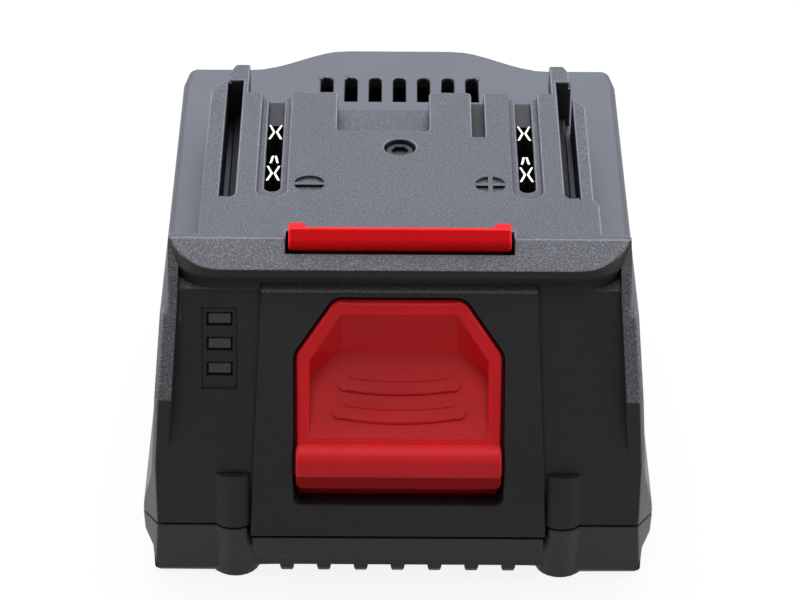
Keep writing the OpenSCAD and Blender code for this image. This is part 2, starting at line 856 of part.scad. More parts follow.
// A round cell lying along X, its button towards +X, with the rolled neck behind it
module cell(at, turned) {
    r = cell_d / 2;
    end = cell_l / 2;
    edge = 0.4;
    neck = end - 4.5;
    neck_in = 0.8;
    neck_half = 0.9;
    cap_r = 3.2;
    rim = end - 1.2;
    profile = [
        [0, -end],
        [r - edge, -end],
        [r, -end + edge],
        [r, neck - neck_half],
        [r - neck_in, neck - neck_half / 3],
        [r - neck_in, neck + neck_half / 3],
        [r, neck + neck_half],
        [r, rim - edge],
        [r - edge, rim],
        [cap_r, rim],
        [cap_r - edge, end],
        [0, end]
    ];
    color([0.15, 0.45, 0.62]) translate([0, at[0], at[1]]) rotate([0, turned ? -90 : 90, 0]) {
        rotate_extrude() polygon(profile);
    }
}

module cell_1() { cell(cell_at[0], false); }
module cell_2() { cell(cell_at[1], true); }
module cell_3() { cell(cell_at[2], false); }
module cell_4() { cell(cell_at[3], true); }
module cell_5() { cell(cell_at[4], false); }

// A welded plate over one cell end, or over two neighbouring ends
module link(a, b) {
    d = b - a;
    translate(a) circle(d = link_w);
    translate(b) circle(d = link_w);
    translate(a) rotate(atan2(d[1], d[0])) translate([0, -link_w / 2]) square([norm(d), link_w]);
}

module link_plates(x, pairs) {
    color([0.78, 0.78, 0.76]) translate([x, 0, 0]) rotate([90, 0, 90]) linear_extrude(link_t) {
        for (p = pairs) link(cell_at[p[0]], cell_at[p[1]]);
    }
}

module links_left() { link_plates(-cell_l / 2 - link_t, [[0, 1], [2, 3]]); }
module links_right() { link_plates(cell_l / 2, [[1, 2], [3, 4]]); }

// A strap from a free end of the string up beside the stack and in to the board
module strap(at, upright_y, reach_y) {
    w = link_w / 2;
    x = cell_l / 2;
    in_x = board_half - 2;
    color([0.78, 0.78, 0.76]) {
        translate([x, 0, 0]) rotate([90, 0, 90]) linear_extrude(link_t) {
            translate(at) circle(d = link_w);
            translate([upright_y, at[1]]) square([w, board_z - at[1]]);
        }
        translate([0, 0, board_z - link_t]) linear_extrude(link_t) {
            translate([x - w, reach_y]) square([w + link_t, upright_y - reach_y + w]);
            translate([in_x, reach_y]) square([x + link_t - in_x, w]);
        }
    }
}

module strap_plus() {
    y = cell_at[0][0] - link_w / 2;
    strap(cell_at[0], y, y);
}

module strap_minus() {
    mirror([1, 0, 0]) strap(cell_at[4], cell_at[4][0], cell_at[2][0] - link_w / 4);
}

// The circuit board on the pads of the holders
module main_board() {
    color([0.1, 0.35, 0.2]) translate([-board_half, bend_y + 3, board_z]) {
        cube([2 * board_half, deck_l - wall - 4.5, board_t]);
    }
}

// Two power transistors, a controller and a plug socket on the board
module board_parts() {
    transistor = [6.4, 6, 2.3];
    controller = [5, 5, 0.9];
    plug = [7, 4, 2.8];
    first_row = 6;
    second_row = 14.5;
    apart = 7;
    color([0.1, 0.1, 0.1]) translate([0, bend_y, board_top]) {
        for (side = [-1, 1]) translate([side * apart - transistor[0] / 2, first_row, 0]) cube(transistor);
        translate([-apart, second_row, 0]) cube(controller);
        translate([apart / 2, second_row, 0]) cube(plug);
    }
}

// The plastic block that holds the contacts below the terminal slots
module contact_carrier() {
    end_wall = 1.2;
    side_gap = 0.2;
    leaf_gap = 0.3;
    bar_w = 5.2;
    bar_under = board_top + 3;
    y0 = slot_front - end_wall;
    block_w = bed_w - 2 * side_gap;
    channel_w = slot_w + 2 * leaf_gap;
    color([0.12, 0.12, 0.13]) difference() {
        union() {
            mirrored() translate([slot_x - block_w / 2, y0, board_top]) {
                cube([block_w, slot_l + 2 * end_wall, deck_under - board_top]);
            }
            translate([-slot_x, screw_y - bar_w / 2, bar_under]) {
                cube([2 * slot_x, bar_w, deck_under - bar_under]);
            }
        }
        mirrored() translate([slot_x - channel_w / 2, slot_front, board_top - 1]) {
            cube([channel_w, slot_l, deck_z]);
        }
        translate([0, screw_y, board_top]) cylinder(d = screw_d + thread_fit, h = deck_z);
    }
}

// A pair of spring leaves that meet in the middle and flare to both ends, or to the front end alone
module clip(l, w, h, both_ends) {
    t = 0.4;
    meet = 0.1;
    leg = [[w / 2 - t, -l / 2], [w / 2, -l / 2], [meet + t, 0], [meet, 0]];
    linear_extrude(h) for (side = [-1, 1], end = both_ends ? [-1, 1] : [1]) scale([side, end]) polygon(leg);
}

module contact_pair(side) {
    base_t = 0.5;
    clip_l = 4.3;
    top = deck_under + 0.9 - board_top;
    front_clip = slot_front + 6.2;
    rear_clip = slot_back - 2.7;
    color([0.8, 0.74, 0.6]) translate([side * slot_x, 0, board_top]) {
        for (y = [front_clip, rear_clip]) translate([0, y, 0]) clip(clip_l, slot_w, top, true);
        translate([0, front_clip + clip_l / 2 + 4, 0]) clip(clip_l, slot_w * 0.7, top - 0.6, false);
        translate([-slot_w / 2, front_clip - clip_l / 2, 0]) {
            cube([slot_w, rear_clip - front_clip + clip_l, base_t]);
        }
    }
}

module contact_plus() { contact_pair(1); }
module contact_minus() { contact_pair(-1); }

// The gauge: a small board behind the raked front, three lights and one clear lens
module gauge_board() {
    color([0.1, 0.35, 0.2]) on_face() translate([gauge_x - gauge_w / 2, lens_back + light_t, gauge_s]) {
        translate([0, 0, gauge_foot]) cube([gauge_w, gauge_t, gauge_h]);
    }
}

module gauge_lights() {
    color([0.9, 0.95, 0.8]) on_face() for (i = [0:2]) {
        translate([gauge_x, lens_back + light_t / 2, gauge_s - i * lens_pitch]) {
            cube([light_w, light_t, light_w], center = true);
        }
    }
}

module gauge_lens() {
    fit = 0.1;
    plate_t = 1;
    w = lens_w - 2 * fit;
    h = lens_h - 2 * fit;
    color([0.75, 0.8, 0.7]) on_face() translate([gauge_x, 0, gauge_s]) {
        translate([-gauge_w / 2, lens_back - plate_t, gauge_foot]) cube([gauge_w, plate_t, gauge_h]);
        for (i = [0:2]) translate([-w / 2, lens_sink, -i * lens_pitch - h / 2]) {
            cube([w, lens_back - lens_sink - plate_t / 2, h]);
        }
    }
}

// A flat grip rib across the slope of the scoop, bowed towards the lip
module grip_rib(up_slope, l) {
    r = 50;
    high = 0.45;
    root = 0.6;
    turn = 2 * asin(l / 2 / r);
    run = [scoop_y - scoop_front, scoop_foot - lip_top];
    at = [scoop_front, lip_top] + run * up_slope;
    translate([0, at[0], at[1]]) rotate([atan2(run[1], run[0]), 0, 0]) translate([0, r, 0]) {
        rotate([0, 0, -90 - turn / 2]) rotate_extrude(angle = turn) polygon([
            [r - rib_w / 2, -root],
            [r + rib_w / 2, -root],
            [r + rib_w / 2, high / 2],
            [r + rib_w / 2 - high / 2, high],
            [r - rib_w / 2 + high / 2, high],
            [r - rib_w / 2, high / 2]
        ]);
        for (side = [-1, 1]) rotate([0, 0, side * turn / 2]) translate([0, -r, -root]) {
            cylinder(d = rib_w, h = root + high);
        }
    }
}

// The red latch: scooped button, stem behind the panel and hook bar above the deck
module release_latch() {
    half = button_w / 2;
    nose_h = 3;
    nose_back = 0.9;
    horn = [2.4, 2];
    color(red) {
        difference() {
            intersection() {
                along(lip_y - 5, stem_front + 1) button_2d(0, button_z);
                across(button_w) polygon(concat(
                    [
                        [stem_front + 1, button_top],
                        [stem_front + 1, button_z],
                        [lip_y + nose_back, button_z],
                        [lip_y, button_z + nose_h]
                    ],
                    arc([lip_y + lip_r, lip_top - lip_r], lip_r, 180, 100),
                    [
                        [face_y(lip_top) - 0.2, lip_top],
                        [face_y(button_top) - 1.5, button_top - 0.6],
                        [face_y(button_top) - 0.9, button_top]
                    ]
                ));
            }
            intersection() {
                along(lip_y - 6, scoop_y) button_2d(-rim_w, button_z);
                across(button_w) polygon([
                    [lip_y - 6, lip_top],
                    [scoop_front, lip_top],
                    [scoop_y, scoop_foot],
                    [scoop_y, button_top],
                    [lip_y - 6, button_top]
                ]);
                translate([0, 0, button_z]) linear_extrude(button_h) polygon(both([
                    [half, lip_y - 6],
                    [half, scoop_y - scoop_run * (rim_w + scoop_cut) / scoop_cut],
                    [half - rim_w - scoop_cut, scoop_y]
                ]));
            }
        }
        mirrored() translate([half, 0, 0]) across(2 * flange_w) polygon([
            [front_y + wall + 0.4, button_z],
            [front_y + wall + 0.4, kink_z],
            [face_y(flange_top) + wall + 0.4, flange_top],
            [stem_front + 1, flange_top],
            [stem_front + 1, button_z]
        ]);
        grip_rib(0.3, rib_l);
        grip_rib(0.6, rib_l - 1.4);
        translate([-half, stem_front, button_z]) cube([button_w, 2.4, hook_foot - button_z + over]);
        translate([-half, front_y + wall + 0.3, button_z - skirt_h]) cube([button_w, 1.2, skirt_h + over]);
        across(hook_w) polygon([
            [hook_front, hook_foot],
            [hook_front, deck_z + hook_h - 1.6],
            [hook_front + 1.2, deck_z + hook_h],
            [hook_front + 1.8, deck_z + hook_h],
            [hook_back, deck_z - 0.4],
            [hook_back, hook_foot]
        ]);
        mirrored() translate([hook_half - horn[0], hook_back - horn[1], hook_foot]) {
            cube([horn[0], horn[1], deck_z + hook_h - 0.2 - hook_foot]);
        }
    }
}

// A compression spring as one unbroken wire, swept along a helix
module spring() {
    sides = 6;
    per_turn = 12;
    r = (spring_d - wire_d) / 2;
    h = button_z - post_z - wire_d;
    count = spring_turns * per_turn;
    ring = [for (i = [0:count]) for (k = [0:sides - 1]) let (
        a = 360 * i / per_turn,
        b = 360 * k / sides,
        d = r + wire_d / 2 * cos(b)
    ) [d * cos(a), d * sin(a), wire_d / 2 + h * i / count + wire_d / 2 * sin(b)]];
    quads = [for (i = [0:count - 1]) for (k = [0:sides - 1]) let (
        p = i * sides + k,
        q = i * sides + (k + 1) % sides
    ) each [[p, q, q + sides], [p, q + sides, p + sides]]];
    first = [for (k = [1:sides - 2]) [0, k + 1, k]];
    last = [for (k = [1:sides - 2]) [count * sides, count * sides + k, count * sides + k + 1]];
    color([0.7, 0.7, 0.72]) translate([spring_x, spring_y, post_z]) {
        polyhedron(ring, concat(quads, first, last));
    }
}

module latch_spring_left() { mirror([1, 0, 0]) spring(); }
module latch_spring_right() { spring(); }

// A pan-head screw, head down, with a six-sided socket
module screw(l, head, high) {
    color([0.5, 0.5, 0.52]) difference() {
        union() {
            translate([0, 0, -high]) cylinder(d = head, h = high);
            cylinder(d = screw_d, h = l);
        }
        translate([0, 0, -high - 1]) cylinder(d = socket_d, h = 1 + high * 0.6, $fn = 6);
    }
}

module case_screws() {
    at_screws() translate([0, 0, screw_z]) screw(screw_l, head_d, head_h);
}

module deck_screw() {
    translate([0, screw_y, deck_z - deck_sink]) mirror([0, 0, 1]) {
        screw(deck_screw_l, deck_head_d, deck_head_h);
    }
}

lower_case();
upper_case();
cell_holder_left();
cell_holder_right();
cell_1();
cell_2();
cell_3();
cell_4();
cell_5();
links_left();
links_right();
strap_plus();
strap_minus();
main_board();
board_parts();
contact_carrier();
contact_plus();
contact_minus();
gauge_board();
gauge_lights();
gauge_lens();
release_latch();
latch_spring_left();
latch_spring_right();
case_screws();
deck_screw();
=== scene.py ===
import json
from math import radians

import bmesh
import bpy
from mathutils import Matrix, Vector

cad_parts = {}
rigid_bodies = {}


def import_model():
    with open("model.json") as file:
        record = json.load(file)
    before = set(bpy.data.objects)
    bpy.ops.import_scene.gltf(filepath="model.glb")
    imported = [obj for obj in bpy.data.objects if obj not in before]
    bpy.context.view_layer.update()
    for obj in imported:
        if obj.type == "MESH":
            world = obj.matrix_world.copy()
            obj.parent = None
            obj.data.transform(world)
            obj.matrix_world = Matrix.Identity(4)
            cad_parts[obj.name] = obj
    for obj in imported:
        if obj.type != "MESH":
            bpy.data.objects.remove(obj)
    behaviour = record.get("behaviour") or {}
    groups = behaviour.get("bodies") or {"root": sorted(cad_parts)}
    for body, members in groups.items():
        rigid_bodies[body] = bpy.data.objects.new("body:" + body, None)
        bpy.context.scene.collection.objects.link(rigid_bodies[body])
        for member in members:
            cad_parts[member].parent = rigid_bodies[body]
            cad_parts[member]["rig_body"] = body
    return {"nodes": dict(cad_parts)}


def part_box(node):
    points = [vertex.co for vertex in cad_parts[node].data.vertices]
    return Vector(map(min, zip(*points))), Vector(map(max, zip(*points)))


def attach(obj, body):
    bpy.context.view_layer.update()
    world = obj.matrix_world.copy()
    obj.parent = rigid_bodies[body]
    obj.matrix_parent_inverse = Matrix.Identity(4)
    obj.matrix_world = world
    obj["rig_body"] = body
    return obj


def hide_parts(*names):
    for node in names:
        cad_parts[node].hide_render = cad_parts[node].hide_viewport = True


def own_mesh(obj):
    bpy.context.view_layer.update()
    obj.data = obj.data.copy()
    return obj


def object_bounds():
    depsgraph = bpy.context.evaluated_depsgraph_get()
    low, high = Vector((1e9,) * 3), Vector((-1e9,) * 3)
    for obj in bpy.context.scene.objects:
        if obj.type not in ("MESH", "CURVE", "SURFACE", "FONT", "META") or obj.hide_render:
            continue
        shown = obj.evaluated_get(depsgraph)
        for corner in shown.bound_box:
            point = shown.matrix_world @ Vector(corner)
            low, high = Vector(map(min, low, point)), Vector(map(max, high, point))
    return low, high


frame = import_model()
cad_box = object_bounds()

# Lower case: a shallow tray injection-moulded in dark glass-filled nylon, with skids and ribs below.
# The mould was spark-eroded, so the outside has a fine matt grain. It closes the pack from below.
MM = 0.001
JOINED = 0.002 * MM       # points closer than this are one
IN_LINE = radians(0.3)    # faces that bend less than this are one
SLIGHT = radians(15)      # least bend of a corner that gets a round of its own
CREASE = radians(24)      # shading breaks where faces bend more than this
SHARP = radians(28)       # an outer edge that bends more than this is rounded
CASE_EDGE = 0.28 * MM
SIDE_X, BACK_Y = 30, 34   # mm from the middle, past which the sides and the back can begin
SIDEWAYS, AFT = 0.5, 0.3  # least parts of a normal that count as facing there


def linear(code):
    """An sRGB hex colour as linear red, green, blue and alpha."""
    parts = [int(code[i:i + 2], 16) / 255 for i in (1, 3, 5)]
    return tuple(p / 12.92 if p <= 0.04045 else ((p + 0.055) / 1.055) ** 2.4 for p in parts) + (1,)


def fill(tree, node, inputs):
    """Fill a node's inputs with values or with links, a list for many links."""
    for name, value in inputs.items():
        for item in value if isinstance(value, list) else [value]:
            if isinstance(item, bpy.types.NodeSocket):
                tree.links.new(item, node.inputs[name])
            else:
                node.inputs[name].default_value = item


def add(tree, kind, inputs=None, **settings):
    """Add a node, set its options and fill its inputs."""
    node = tree.nodes.new(kind)
    for name, value in settings.items():
        setattr(node, name, value)
    fill(tree, node, inputs or {})
    return node


def new_material(name):
    """A material, with its nodes and its shader."""
    material = bpy.data.materials.new(name)
    material.use_nodes = True
    return material, material.node_tree, material.node_tree.nodes["Principled BSDF"]


def moulded_plastic(name, colour, fleck, grain, depth, roughness, gloss):
    """Moulded plastic, with the width and depth of its grain in millimetres.

    The eye gets pale flecks on the peaks of the grain and a slow drift of tint. Ambient occlusion darkens the
    colour in crevices and under overhangs, which is painted shade.
    Spark grain is 0.05 to 0.1 mm wide. That is too fine to show, so it is drawn about three times as coarse.
    """
    cloud, crevice = 14 * MM, 4 * MM
    material, tree, shader = new_material(name)
    place = add(tree, "ShaderNodeTexCoord").outputs["Object"]
    peaks = add(tree, "ShaderNodeTexNoise", {"Vector": place, "Scale": 1 / (grain * MM), "Detail": 3.0,
                                             "Roughness": 0.6}).outputs["Fac"]
    clouds = add(tree, "ShaderNodeTexNoise", {"Vector": place, "Scale": 1 / cloud, "Detail": 2.0})
    lift = add(tree, "ShaderNodeMapRange", {"Value": peaks, "From Min": 0.46, "From Max": 0.74})
    tint = add(tree, "ShaderNodeMix", {"Factor": lift.outputs["Result"], "A": linear(colour),
                                       "B": linear(fleck)}, data_type="RGBA")
    drift = add(tree, "ShaderNodeMapRange", {"Value": clouds.outputs["Fac"], "From Min": 0.3, "From Max": 0.7,
                                             "To Min": 0.93, "To Max": 1.07})
    # Painted shade: ambient occlusion darkens the colour wherever the surface is closed in within a few
    # millimetres.
    open_sky = add(tree, "ShaderNodeAmbientOcclusion", {"Distance": crevice}, samples=8)
    painted_crevice_shade = add(tree, "ShaderNodeMapRange", {"Value": open_sky.outputs["AO"], "From Min": 0.25,
                                            "From Max": 0.75, "To Min": 0.3, "To Max": 1.0})
    value = add(tree, "ShaderNodeMath", {0: drift.outputs["Result"], 1: painted_crevice_shade.outputs["Result"]},
                operation="MULTIPLY")
    toned = add(tree, "ShaderNodeHueSaturation", {"Color": tint.outputs["Result"], "Value": value.outputs[0]})
    matt = add(tree, "ShaderNodeMapRange", {"Value": peaks, "To Min": roughness - 0.08,
                                            "To Max": roughness + 0.08})
    relief = add(tree, "ShaderNodeBump", {"Height": peaks, "Strength": 0.6, "Distance": depth * MM})
    fill(tree, shader, {"Base Color": toned.outputs["Color"], "Roughness": matt.outputs["Result"],
                        "Normal": relief.outputs["Normal"], "Specular IOR Level": gloss})
    return material


def join_flat(shape):
    """Join faces that lie in one plane."""
    bmesh.ops.dissolve_limit(shape, angle_limit=IN_LINE, verts=shape.verts, edges=shape.edges)


def merged(node):
    """A part's mesh with its triangles joined into whole faces."""
    shape = bmesh.new()
    shape.from_mesh(frame["nodes"][node].data)
    bmesh.ops.remove_doubles(shape, verts=shape.verts, dist=JOINED)
    join_flat(shape)
    return shape


def within(point, low, high):
    """Whether a point is in a box that is given in millimetres."""
    return all(low[i] < point.co[i] / MM < high[i] for i in range(3))


def along_axis(edge, axis):
    """Whether an edge runs along an axis, to a hundredth of a millimetre."""
    span = edge.verts[0].co - edge.verts[1].co
    return span.length - abs(span[axis]) < 0.01 * MM


def in_scene(name, data):
    """A new object in the scene, at the origin."""
    thing = bpy.data.objects.new(name, data)
    bpy.context.scene.collection.objects.link(thing)
    return thing


def make_plain(piece):
    """Give a piece the mesh that its modifiers make, and remove them."""
    graph = bpy.context.evaluated_depsgraph_get()
    piece.data = bpy.data.meshes.new_from_object(piece.evaluated_get(graph))
    piece.modifiers.clear()


def moulding(name, node, shape, edge, segments=2, rounds=()):
    """A part's merged mesh with its edges rounded as a mould leaves them, which stands for that part.

    Each of rounds is a box's two corners, a radius and an axis, in millimetres. Edges along that axis in
    the box are rounded first, by that radius. Rounded faces are marked in the layer named edge.
    """
    on_edge = shape.faces.layers.int.new("edge")
    style = {"offset_type": "OFFSET", "profile": 0.5, "affect": "EDGES", "clamp_overlap": False,
             "miter_outer": "ARC"}
    for low, high, radius, axis in rounds:
        corners = [e for e in shape.edges if all(within(v, low, high) for v in e.verts)
                   and along_axis(e, axis) and e.calc_face_angle() > SLIGHT]
        for face in bmesh.ops.bevel(shape, geom=corners, offset=radius * MM, segments=4, **style)["faces"]:
            face[on_edge] = 1
    sharp = []
    for e in shape.edges:
        if len(e.link_faces) == 2 and e.calc_face_angle_signed() > SHARP:
            narrowest = min(f.calc_area() for f in e.link_faces) / e.calc_length()
            if narrowest > 2 * edge:
                sharp.append(e)
    for face in bmesh.ops.bevel(shape, geom=sharp, offset=edge, segments=segments, **style)["faces"]:
        face[on_edge] = 1
    for face in shape.faces:
        face.smooth = True
    mesh = bpy.data.meshes.new(name)
    shape.to_mesh(mesh)
    shape.free()
    mesh.set_sharp_from_angle(angle=CREASE)
    piece = in_scene(name, mesh)
    piece.modifiers.new("flat_faces", "WEIGHTED_NORMAL").keep_sharp = True
    make_plain(piece)
    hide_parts(node)
    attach(piece, frame["nodes"][node]["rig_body"])
    return piece


def coat(piece, finishes, zone_of):
    """Give a piece its finishes, and each of its faces the one that zone_of names."""
    for finish in finishes.values():
        piece.data.materials.append(finish)
    zones = list(finishes)
    for face in piece.data.polygons:
        face.material_index = zones.index(zone_of(face))


def lower_zone(face):
    """The finish of a face of the lower case."""
    x, y, _ = face.center / MM
    on_side = abs(x) > SIDE_X and abs(face.normal.x) > SIDEWAYS
    on_back = y > BACK_Y and face.normal.y > AFT
    return "flank" if on_side or on_back else "tray"


# The front and the underside are dark and even. The sides and the back have a stronger grain, and their base and
# flecks are paler, painted light for the light that the sides catch.
lit_flank_grain = moulded_plastic("grained_nylon_flank_painted_light", "#424246", "#69696d", 0.26, 0.06, 0.5, 0.5)
lower = moulding("lower_shell", "lower_case", merged("lower_case"), CASE_EDGE)
coat(lower, {"tray": moulded_plastic("grained_nylon_lower", "#333338", "#3c3c42", 0.34, 0.02, 0.5, 0.3),
             "flank": lit_flank_grain}, lower_zone)

# Cells, in their end frames: steel cans in heat-shrunk film, held in two black moulded frames.
# Nickel strip is spot-welded across their ends, and two straps lead up to the board.


def dress(material, *nodes):
    """Give parts that keep their own shape a material."""
    for node in nodes:
        part = frame["nodes"][node]
        part.data.materials.clear()
        part.data.materials.append(material)


def strip_metal(name, colour, roughness, draw):
    """Rolled or drawn metal, with lines from the rolls or the die that are draw millimetres wide.

    The eye gets soft streaks of gloss along the pack. Real lines are some hundredths of a millimetre wide,
    too fine to show, so they are drawn coarser.
    """
    stretch = (1, 0.06, 1)
    material, tree, shader = new_material(name)
    place = add(tree, "ShaderNodeTexCoord").outputs["Object"]
    along = add(tree, "ShaderNodeMapping", {"Vector": place, "Scale": stretch})
    lines = add(tree, "ShaderNodeTexNoise", {"Vector": along.outputs["Vector"], "Scale": 1 / (draw * MM),
                                             "Detail": 2.0}).outputs["Fac"]
    rough = add(tree, "ShaderNodeMapRange", {"Value": lines, "To Min": roughness - 0.1,
                                             "To Max": roughness + 0.12})
    relief = add(tree, "ShaderNodeBump", {"Height": lines, "Strength": 0.25, "Distance": 0.01 * MM})
    fill(tree, shader, {"Base Color": linear(colour), "Metallic": 1, "Roughness": rough.outputs["Result"],
                        "Normal": relief.outputs["Normal"]})
    return material


# The frames are plain matt black, the film is smooth and half glossy with a slow wave, and the nickel is
# bright with faint streaks.
frame_black = moulded_plastic("black_frame_plastic", "#1d1d1f", "#29292b", 0.5, 0.02, 0.5, 0.35)
cell_film = moulded_plastic("shrink_film", "#2b6f8c", "#35809e", 2.0, 0.004, 0.28, 0.5)
nickel = strip_metal("nickel_strip", "#c9c7c0", 0.34, 0.25)
dress(frame_black, "cell_holder_left", "cell_holder_right", "contact_carrier")
dress(cell_film, "cell_1", "cell_2", "cell_3", "cell_4", "cell_5")
dress(nickel, "links_left", "links_right", "strap_plus", "strap_minus")

# Circuit board with its parts: glass-fibre laminate under green solder mask, moulded black components.
# The spring contacts stand on it in pairs, stamped from tinned bronze, and show in the terminal slots.
CLOSING = 0.09 * MM       # how far each leaf bends in, so that a pair closes
LEAF_EDGE = 0.07 * MM
LEVEL_LEAF = 0.9          # least rise of a normal on the top edge of a leaf

# The mask is glossy and green and the components are matt. The leaves' up-facing cut top edges are a bright copy,
# painted highlight, and their faces a dark copy, painted shade.
mask_green = moulded_plastic("solder_mask", "#14532d", "#1a6337", 1.2, 0.01, 0.3, 0.5)
chip_black = moulded_plastic("component_epoxy", "#171717", "#222222", 0.3, 0.01, 0.55, 0.3)
leaf_finishes = {"face": strip_metal("tinned_bronze_painted_shade", "#4d4a43", 0.45, 0.2),
                 "edge": strip_metal("tinned_bronze_painted_highlight", "#c4c0b4", 0.25, 0.2)}
dress(mask_green, "main_board", "gauge_board")
dress(chip_black, "board_parts")
for sign in ("plus", "minus"):
    shape = merged("contact_" + sign)
    slot_x = sum(corner[0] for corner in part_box("contact_" + sign)) / 2
    for point in shape.verts:
        point.co.x += CLOSING if point.co.x < slot_x else -CLOSING
    leaves = moulding("leaves_" + sign, "contact_" + sign, shape, LEAF_EDGE)
    # Painted light: faces of the leaves that face up get the bright copy, the rest the dark one.
    coat(leaves, leaf_finishes, lambda face: "edge" if face.normal.z > LEVEL_LEAF else "face")

# Charge gauge: three small lights behind one clear moulding, which reaches through the front in three windows.
# The moulding is frosted polycarbonate, clipped in from behind, and looks dim and grey-green when it is off.
LENS_EDGE = 0.15 * MM


def frosted_clear(name, colour):
    """Frosted clear plastic: light comes through blurred, and a fine haze breaks up the gloss."""
    grit = 0.4 * MM
    material, tree, shader = new_material(name)
    place = add(tree, "ShaderNodeTexCoord").outputs["Object"]
    haze = add(tree, "ShaderNodeTexNoise", {"Vector": place, "Scale": 1 / grit, "Detail": 2.0})
    rough = add(tree, "ShaderNodeMapRange", {"Value": haze.outputs["Fac"], "To Min": 0.2, "To Max": 0.45})
    fill(tree, shader, {"Base Color": linear(colour), "Roughness": rough.outputs["Result"],
                        "Transmission Weight": 0.45, "Specular IOR Level": 0.3, "IOR": 1.58})
    return material


# The lights' resin is pale and slightly cloudy.
dress(moulded_plastic("light_resin", "#d6dcb8", "#e4e8cc", 0.8, 0.005, 0.3, 0.5), "gauge_lights")
lens = moulding("gauge_windows", "gauge_lens", merged("gauge_lens"), LENS_EDGE)
lens.data.materials.append(frosted_clear("frosted_polycarbonate", "#262a21"))

# Upper case: the main moulding, with the deck, its rails and the visor, in the same dark nylon.
# The deck and the visor have a coarse spark grain, the shoulders beside the rails and the front a finer one.
# Screws in its corner columns hold it to the lower case.
X, Y, Z = range(3)
VENTS = ((-14, 33, 40), (14, 34.5, 44), 0.9, Z)
DECK_TABS = ((-23, 14, 43), (23, 14.6, 53), 0.8, Z)
NOTCH_CORNERS = ((-10, 2, 48), (5, 2.6, 53), 0.7, Z)
DECK_BEND = ((-34, -29, 51.8), (34, -28.5, 52.2), 0.35, X)

# The top of the front panel leans back under the visor. It is cut off its face, and its upper edge is moved.
PANEL_TOP = ((-20.3, -32.5, 46.3), (20.3, -32.2, 46.6))
PANEL_AHEAD, PANEL_RISE = 0.85, 0.3
LEAN_FROM = 45.4 * MM
LEAN_BACK = Vector((0, 0.5, -0.416)) * MM
shape = merged("upper_case")
panel = [face for face in shape.faces if face.normal.y < -PANEL_AHEAD and face.normal.z > PANEL_RISE
         and any(within(point, *PANEL_TOP) for point in face.verts)]
around = dict.fromkeys(part for face in panel for part in (face, *face.edges, *face.verts))
bmesh.ops.bisect_plane(shape, geom=list(around), plane_co=(0, 0, LEAN_FROM), plane_no=(0, 0, 1))
for point in shape.verts:
    if within(point, *PANEL_TOP):
        point.co += LEAN_BACK
upper = moulding("upper_shell", "upper_case", shape, CASE_EDGE,
                 rounds=(VENTS, DECK_TABS, NOTCH_CORNERS, DECK_BEND))

# Where each finish begins and ends, in mm, and how far a face there has to turn.
EDGE_LIGHT_Z, EDGE_LIGHT_Y, EDGE_LIGHT_RISE = 50, -29.5, (0.3, 0.98)
FRONT_Y, WING_X, WING_Z, WING_AHEAD, WING_RISE = -28, 31.4, (31, 45), 0.3, (0.2, 0.3)
LEDGE_Z, LEDGE_RISE = (44.5, 46.6), 0.5
TOP_Z, TOP_RISE, SHOULDER_Z = 42, 0.6, 44.2
SLOPE_Z, SLOPE_RISE, VISOR_Y, DECK_Z = 47.5, 0.96, -25, 50.3
NOTCH_X, NOTCH_Y = (-9.7, 4.6), 2.2
FLANK_X, FLANK_SIDE = 34, 0.3
rounded = upper.data.attributes["edge"].data


def upper_zone(face):
    """The finish of a face of the upper case."""
    x, y, z = face.center / MM
    side, aft, rise = face.normal
    highlit_edge = rounded[face.index].value and EDGE_LIGHT_RISE[0] < rise < EDGE_LIGHT_RISE[1]
    wing = abs(x) > WING_X and z > WING_Z[0]
    wing_front = wing and aft < -WING_AHEAD and rise > WING_RISE[0]
    ledge = LEDGE_Z[0] < z < LEDGE_Z[1] and rise > LEDGE_RISE
    slope = rise < SLOPE_RISE and z > SLOPE_Z
    in_notch = NOTCH_X[0] < x < NOTCH_X[1] and y > NOTCH_Y
    on_side = abs(x) > FLANK_X and abs(side) > FLANK_SIDE or wing and rise > WING_RISE[1] and z < WING_Z[1]
    on_back = y > BACK_Y and aft > AFT
    # Painted highlight: rounded, up-facing edges on the deck get a paler finish.
    if highlit_edge and z > EDGE_LIGHT_Z and y > EDGE_LIGHT_Y:
        return "edge"
    # Painted light: the wing fronts and the ledge under the visor take the visor's paler finish where light reaches
    # them.
    if y < FRONT_Y and (wing_front or ledge):
        return "visor"
    if rise > TOP_RISE and z > TOP_Z:
        if z < SHOULDER_Z:
            return "shoulder"
        if slope and y < VISOR_Y:
            return "visor"
        return "deck" if z > DECK_Z or in_notch or slope else "front"
    return "flank" if on_side or on_back else "front"


# It is one nylon, coloured as lit and shaded copies. The front is almost black and even; deck and visor have pale
# flecks on real grain, painted glints and sheen; the shoulders are a paler cool blue-grey, painted sheen; and the
# rounded deck edges are paler, painted highlight.
coat(upper, {"front": moulded_plastic("grained_nylon_front", "#272728", "#343436", 0.28, 0.03, 0.55, 0.2),
             "deck": moulded_plastic("grained_nylon_deck_painted_glints", "#25262c", "#66686f", 0.26, 0.1, 0.52, 0.42),
             "shoulder": moulded_plastic("satin_nylon_shoulder_painted_sheen", "#32353d", "#3e414c", 0.3, 0.015, 0.5, 0.55),
             "flank": lit_flank_grain,
             "visor": moulded_plastic("coarse_nylon_visor_painted_glints", "#333337", "#88888e", 0.22, 0.1, 0.52, 0.42),
             "edge": moulded_plastic("nylon_edge_painted_highlight", "#484b53", "#767981", 0.3, 0.02, 0.42, 0.6)}, upper_zone)

# Release latch: one red moulding of tough nylon, satin from handling, with its button in the front window
# and its hook bar above the deck. Two drawn-wire springs push it up from the lower case.
LATCH_EDGE = 0.5 * MM
TURNED_CREASE = radians(45)   # shading of wound and turned steel breaks where faces bend more than this
NOSE = ((-15.2, -44, 19.9), (15.2, -43.5, 20.1), 0.3, X)

